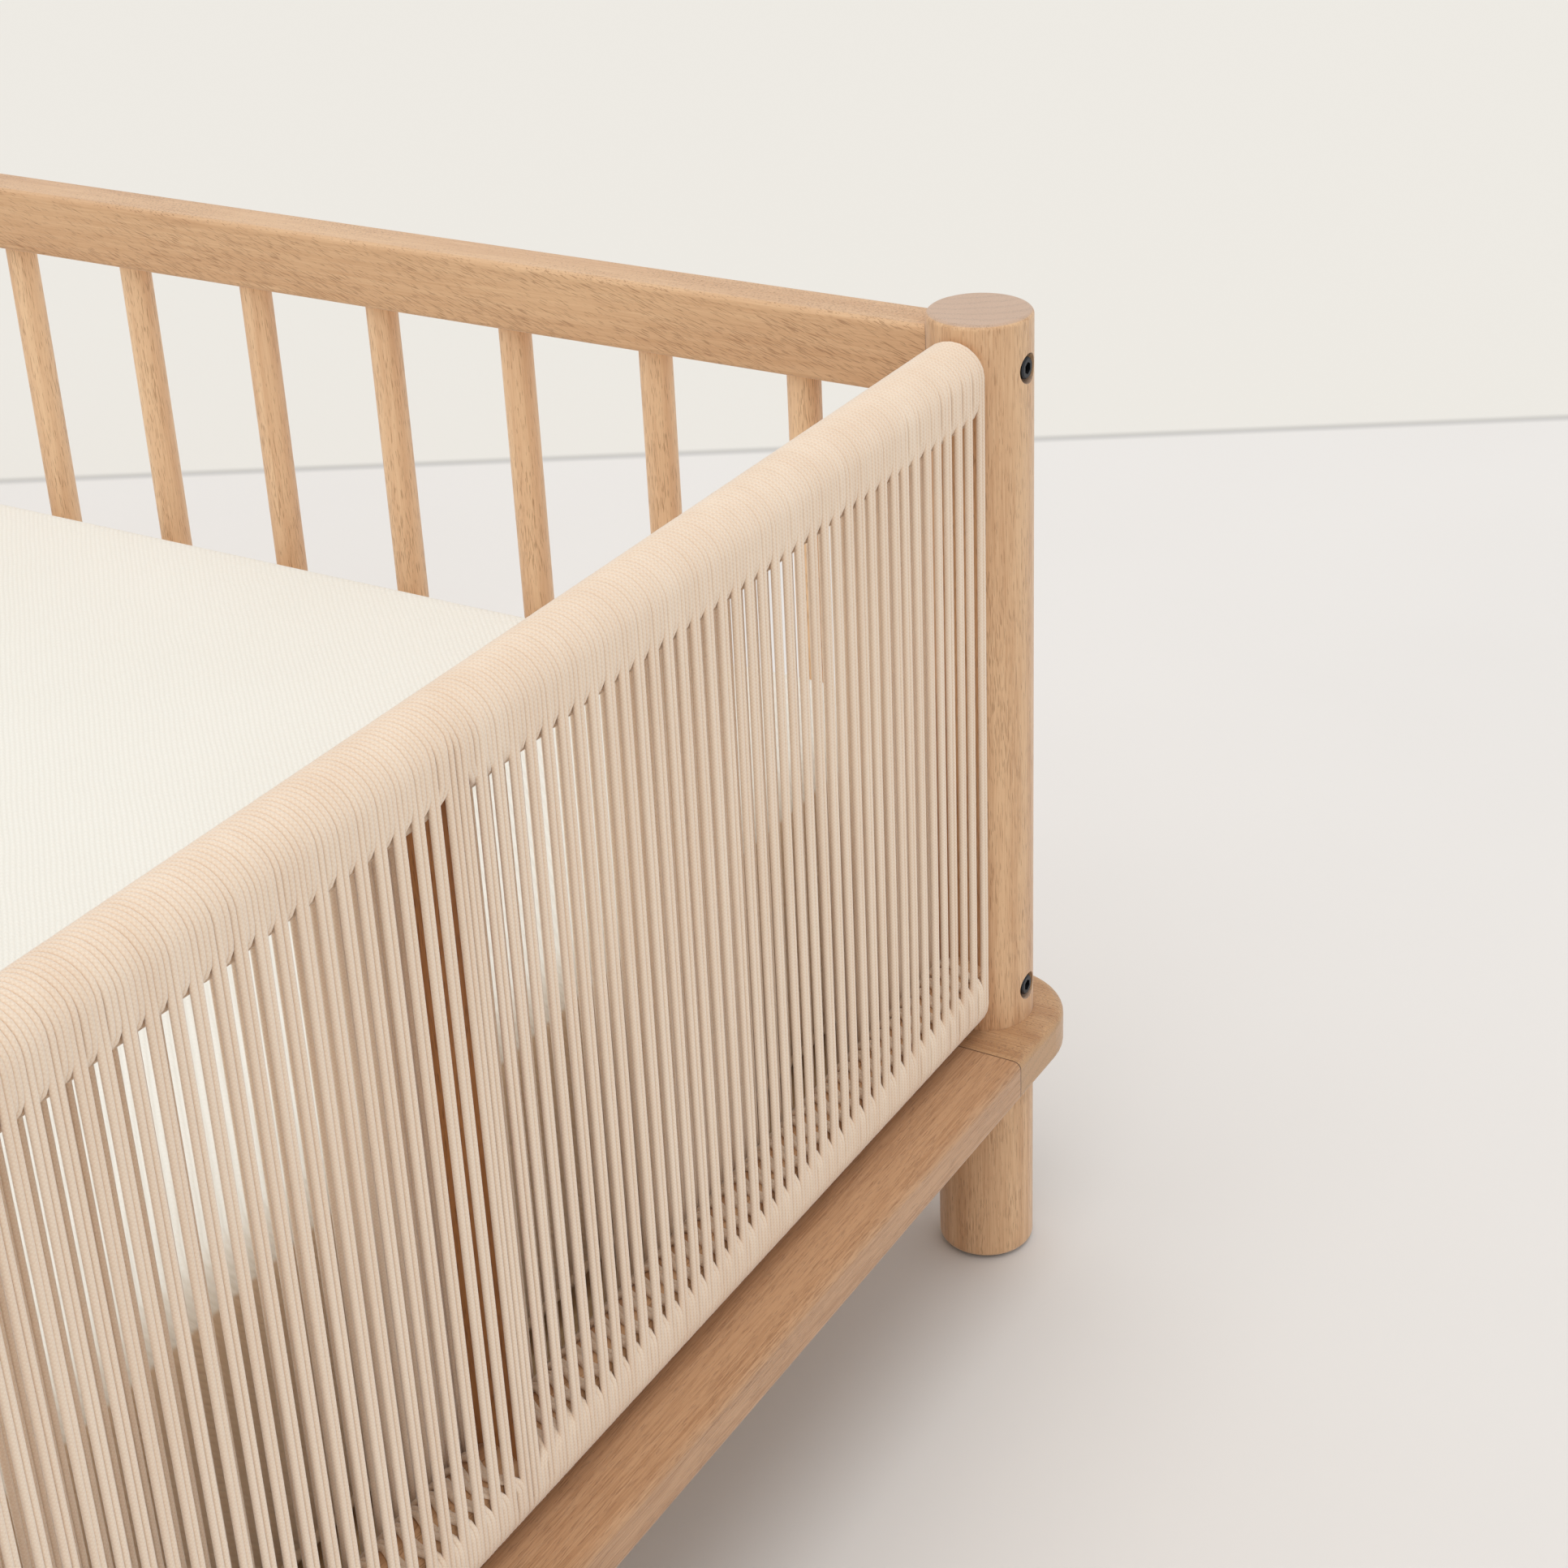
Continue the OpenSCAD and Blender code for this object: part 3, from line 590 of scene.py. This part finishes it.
def tube_mesh(name, loops, radius):
    """One mesh of closed tubes of cord, with a UV map that runs along and round each."""
    points, faces, coordinates = [], [], []
    for loop in loops:
        path = np.array(loop)
        ahead, behind = np.roll(path, -1, axis=0), np.roll(path, 1, axis=0)
        tangent = ahead - behind
        tangent /= np.linalg.norm(tangent, axis=1)[:, None]
        outward = np.cross(tangent, (0, 1, 0))
        outward /= np.linalg.norm(outward, axis=1)[:, None]
        sideways = np.cross(tangent, outward)
        lengths = np.concatenate([[0], np.cumsum(np.linalg.norm(ahead - path, axis=1))])
        base, rings = len(points) * CORD_SIDES, len(path)
        for centre, out, side in zip(path, outward, sideways):
            turns = [2 * math.pi * k / CORD_SIDES for k in range(CORD_SIDES)]
            points.append([centre + radius * (math.cos(t) * out + math.sin(t) * side) for t in turns])
        for ring in range(rings):
            following = (ring + 1) % rings
            for k in range(CORD_SIDES):
                beside = (k + 1) % CORD_SIDES
                faces.append([base + ring * CORD_SIDES + k, base + ring * CORD_SIDES + beside,
                              base + following * CORD_SIDES + beside, base + following * CORD_SIDES + k])
                near, far = lengths[ring], lengths[ring + 1]
                left, right = k / CORD_SIDES, (k + 1) / CORD_SIDES
                coordinates += [near, left, near, right, far, right, far, left]
    mesh = bpy.data.meshes.new(name)
    mesh.from_pydata(np.array(points).reshape(-1, 3).tolist(), [], faces)
    mesh.uv_layers.new(name="braid").data.foreach_set("uv", coordinates)
    mesh.polygons.foreach_set("use_smooth", [True] * len(faces))
    return mesh


def add_piece(name, mesh, material, body):
    piece = bpy.data.objects.new(name, mesh)
    bpy.context.scene.collection.objects.link(piece)
    mesh.materials.append(material)
    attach(piece, body)
    return piece


def wind_end(end, material):
    """The cord of one end: its pairs of strands, and the extra wraps of its two bars."""
    side = ENDS[end]
    draw = np.random.default_rng(WINDING_SEED + side)
    top, bottom = middle(f"end_top_bar_{end}"), middle(f"end_bottom_bar_{end}")
    bar_low, bar_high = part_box(f"end_top_bar_{end}")
    bar_r = (bar_high.x - bar_low.x) / 2
    rounding = (bar_high.z - bar_low.z) / 2 - bar_r
    radius = bar_r + CORD_R
    places = pair_places(middle("post_back_right").y)
    on_bars = even_out(places)
    places = [place + draw.uniform(-PAIR_STRAY, PAIR_STRAY) for place in places]

    def set_up(loop):
        """Turns a loop from the drawing plane of the end to its place in the crib."""
        return [(top.x + side * x, side * y, z) for x, y, z in loop]

    strands, top_wraps, bottom_wraps = [], [], []
    for number, (place, on_bar) in enumerate(zip(places, on_bars)):
        half = CROWDED_HALF if number in (CROWDED_PAIR - 1, CROWDED_PAIR) else CORD_R
        for hand in (-1, 1):
            nudge = draw.uniform(-STRAND_STRAY, STRAND_STRAY)
            bow = draw.uniform(-STRAND_BOW, STRAND_BOW)
            strand = strand_loop(bottom.z - rounding, top.z + rounding, radius,
                                 place + hand * half + nudge, on_bar + hand * CORD_R, bow)
            strands.append(set_up(strand))
    for pair, (place, following) in enumerate(zip(on_bars, on_bars[1:]), 1):
        if pair == CROWDED_PAIR:
            continue
        before, after = place - CORD_R, following + CORD_R
        for number in range(1, WRAPS_BETWEEN + 1):
            part = number / (WRAPS_BETWEEN + 1)
            at = before + (after - before) * part + draw.uniform(-WRAP_STRAY, WRAP_STRAY)
            over = wrap_loop(top.z - rounding, top.z + rounding, radius, at, False)
            under = wrap_loop(bottom.z - rounding, bottom.z + rounding, radius, at, True)
            top_wraps.append(set_up(over))
            bottom_wraps.append(set_up(under))
    for name, loops, cord_r, nodes in (
        ("cord_strands", strands, CORD_R, ("cord_outer_web", "cord_inner_web")),
        ("cord_top_turns", top_wraps, WRAP_R, ("cord_top_wrap",)),
        ("cord_bottom_turns", bottom_wraps, WRAP_R, ("cord_bottom_wrap",)),
    ):
        mesh = tube_mesh(f"{name}_{end}", loops, cord_r)
        piece = add_piece(f"{name}_{end}", mesh, material, "frame")
        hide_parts(*(f"{node}_{end}" for node in nodes))


# ---- Mattress ----

MATTRESS_INSET = Vector((0.002, 0.001, 0.0))
MATTRESS_CROWN = 0.0040      # how far the middle of the top rises when the cover fills
MATTRESS_SPARE = 0.0005      # from the risen top to the top of the CAD cover
MATTRESS_VOXEL = 0.010
MATTRESS_EDGE = 0.012
UNDERSIDE_LIFT = 0.0004      # the swollen underside stays this far above the base panel's underside
CORNER_R = 0.035
CLOTH_FRAMES = 20
PIPING_R = 0.0022
PIPING_RISE = 0.014          # from the underside of the mattress to its piping
PIPING_PROUD = 0.35          # part of its radius that the piping's middle stands off the side
PIPING_POINTS = 420


def block_mesh(low, high):
    """A box with round upright corners and softened edges above and below."""
    shape = bmesh.new()
    bmesh.ops.create_cube(shape, size=1)
    size, centre = high - low, (low + high) / 2
    bmesh.ops.scale(shape, vec=size, verts=shape.verts)
    bmesh.ops.translate(shape, vec=centre, verts=shape.verts)
    upright = [e for e in shape.edges if abs(e.verts[0].co.z - e.verts[1].co.z) > size.z / 2]
    bmesh.ops.bevel(shape, geom=upright, offset=CORNER_R, segments=5, affect="EDGES", profile=0.5)
    level = [e for e in shape.edges if abs(e.verts[0].co.z - e.verts[1].co.z) < 1e-6
             and len(e.link_faces) == 2 and e.calc_face_angle(0) > 1]
    bmesh.ops.bevel(shape, geom=level, offset=MATTRESS_EDGE, segments=4, affect="EDGES", profile=0.5)
    mesh = bpy.data.meshes.new("mattress")
    shape.to_mesh(mesh)
    shape.free()
    return mesh


def apply_modifiers(piece):
    graph = bpy.context.evaluated_depsgraph_get()
    mesh = bpy.data.meshes.new_from_object(piece.evaluated_get(graph))
    old = piece.data
    piece.modifiers.clear()
    piece.data = mesh
    bpy.data.meshes.remove(old)


def swell(piece, underside):
    """Fills the piece with air as a cloth skin, and keeps a small part of that movement."""
    rest = np.array([v.co for v in piece.data.vertices])
    cloth = piece.modifiers.new("cloth", "CLOTH")
    cloth.settings.quality = 4
    cloth.settings.mass = 0.4
    cloth.settings.tension_stiffness = 12
    cloth.settings.compression_stiffness = 12
    cloth.settings.bending_stiffness = 2.5
    cloth.settings.use_pressure = True
    cloth.settings.uniform_pressure_force = 4
    cloth.settings.effector_weights.gravity = 0
    cloth.collision_settings.use_self_collision = False
    scene = bpy.context.scene
    cloth.point_cache.frame_start = 1
    cloth.point_cache.frame_end = CLOTH_FRAMES
    for number in range(1, CLOTH_FRAMES + 1):
        scene.frame_set(number)
    apply_modifiers(piece)
    scene.frame_set(1)
    moved = np.array([v.co for v in piece.data.vertices]) - rest
    placed = rest + moved * MATTRESS_CROWN / moved[:, 2].max()
    placed[:, 2] = np.maximum(placed[:, 2], underside)
    piece.data.vertices.foreach_set("co", placed.ravel())


def make_piping(mattress, underside):
    """A cord of cover cloth round the lower edge, laid on the mattress's own side."""
    tree = BVHTree.FromObject(mattress, bpy.context.evaluated_depsgraph_get())
    inside = Vector((0, 0, underside + PIPING_RISE))
    path = []
    for number in range(PIPING_POINTS):
        angle = 2 * math.pi * number / PIPING_POINTS
        away = Vector((math.cos(angle), math.sin(angle), 0))
        hit = tree.ray_cast(inside + away * 2, -away)[0]
        path.append(hit + away * PIPING_R * PIPING_PROUD)
    curve = bpy.data.curves.new("mattress_piping", "CURVE")
    curve.dimensions = "3D"
    curve.bevel_depth = PIPING_R
    curve.bevel_resolution = 3
    spline = curve.splines.new("POLY")
    spline.points.add(PIPING_POINTS - 1)
    spline.points.foreach_set("co", [c for p in path for c in (*p, 1)])
    spline.use_cyclic_u = True
    return curve


def make_mattress(material):
    low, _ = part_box("mattress_base_panel")
    _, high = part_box("mattress_cover")
    high = high - Vector((0, 0, MATTRESS_CROWN + MATTRESS_SPARE))
    piece = bpy.data.objects.new("mattress", block_mesh(low + MATTRESS_INSET, high - MATTRESS_INSET))
    bpy.context.scene.collection.objects.link(piece)
    remesh = piece.modifiers.new("remesh", "REMESH")
    remesh.mode = "VOXEL"
    remesh.voxel_size = MATTRESS_VOXEL
    apply_modifiers(piece)
    swell(piece, low.z + UNDERSIDE_LIFT)
    finer = piece.modifiers.new("finer", "SUBSURF")
    finer.levels = 1
    finer.render_levels = 1
    apply_modifiers(piece)
    piece.data.polygons.foreach_set("use_smooth", [True] * len(piece.data.polygons))
    piece.data.materials.append(material)
    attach(piece, "mattress")
    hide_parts("mattress_cover", "mattress_core", "mattress_base_panel")
    piping = bpy.data.objects.new("mattress_piping", make_piping(piece, low.z))
    bpy.context.scene.collection.objects.link(piping)
    piping.data.materials.append(material)
    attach(piping, "mattress")


# ---- Floor and light ----

FLOOR_SIZE = 14.0
FLOOR_SHADE = linear(232, 230, 228)
FLOOR_LIGHT = linear(237, 235, 233)
WALL_TINT = linear(235, 233, 228)
# Painted shade: a grey line on the floor standing in for the shade where the wall meets it.
WALL_SHADE_LINE_TINT = linear(150, 150, 150)
WALL_NORMAL = (-0.509, 0.861, 0.0)
WALL_DISTANCE = 1.1017       # from the middle of the crib to the line at the foot of the wall
WALL_SHADE_LINE_REACH = 0.012      # from the middle of that line to where its painted shade has faded out
WALL_EDGE = 0.002            # half the width over which the floor's colour turns into the wall's
KEY_FROM = (0.07, -0.32, 0.94)
KEY_ANGLE = math.radians(44)
KEY_ENERGY = 0.93
KEY_COLOUR = (1.0, 0.985, 0.96)
WORLD_COLOUR = (1.0, 0.99, 0.975, 1)
WORLD_STRENGTH = 0.75


def make_floor():
    """A pale floor, with a soft painted shade line where the wall starts behind the crib."""
    graph = Graph("studio_floor")
    place = graph.add("TexCoord").outputs["Object"]
    away = graph.add("VectorMath", {0: place, 1: WALL_NORMAL}, operation="DOT_PRODUCT").outputs["Value"]
    offset = graph.math("ABSOLUTE", graph.math("SUBTRACT", away, WALL_DISTANCE))
    line = graph.math("SUBTRACT", 1.0, graph.steps(offset, 0.0, WALL_SHADE_LINE_REACH))
    beyond = graph.steps(away, WALL_DISTANCE - WALL_EDGE, WALL_DISTANCE + WALL_EDGE)
    mottle = graph.noise(place, 3.0, 2.0)
    ground = graph.mix(mottle, FLOOR_SHADE, FLOOR_LIGHT)
    ground = graph.mix(beyond, ground, WALL_TINT)
    # The grey line is painted shade at the foot of the wall.
    colour = graph.mix(graph.math("MULTIPLY", line, 0.4), ground, WALL_SHADE_LINE_TINT)
    graph.surface(colour, 0.9, Specular_IOR_Level=0.1)
    shape = bmesh.new()
    bmesh.ops.create_grid(shape, x_segments=2, y_segments=2, size=FLOOR_SIZE / 2)
    mesh = bpy.data.meshes.new("floor")
    shape.to_mesh(mesh)
    shape.free()
    mesh.materials.append(graph.material)
    floor = bpy.data.objects.new("floor", mesh)
    bpy.context.scene.collection.objects.link(floor)


def make_light():
    world = bpy.data.worlds.new("studio")
    bpy.context.scene.world = world
    world.use_nodes = True
    backdrop = world.node_tree.nodes["Background"]
    backdrop.inputs["Color"].default_value = WORLD_COLOUR
    backdrop.inputs["Strength"].default_value = WORLD_STRENGTH
    key = bpy.data.lights.new("key", "SUN")
    key.angle = KEY_ANGLE
    key.energy = KEY_ENERGY
    key.color = KEY_COLOUR
    light = bpy.data.objects.new("key", key)
    light.rotation_mode = "QUATERNION"
    light.rotation_quaternion = Vector(KEY_FROM).to_track_quat("Z", "Y")
    bpy.context.scene.collection.objects.link(light)
    bpy.context.scene.view_settings.view_transform = "Standard"


paint_frame()
cotton = cord_material()
for end_name in ENDS:
    wind_end(end_name, cotton)
make_mattress(knit_material())
make_floor()
make_light()
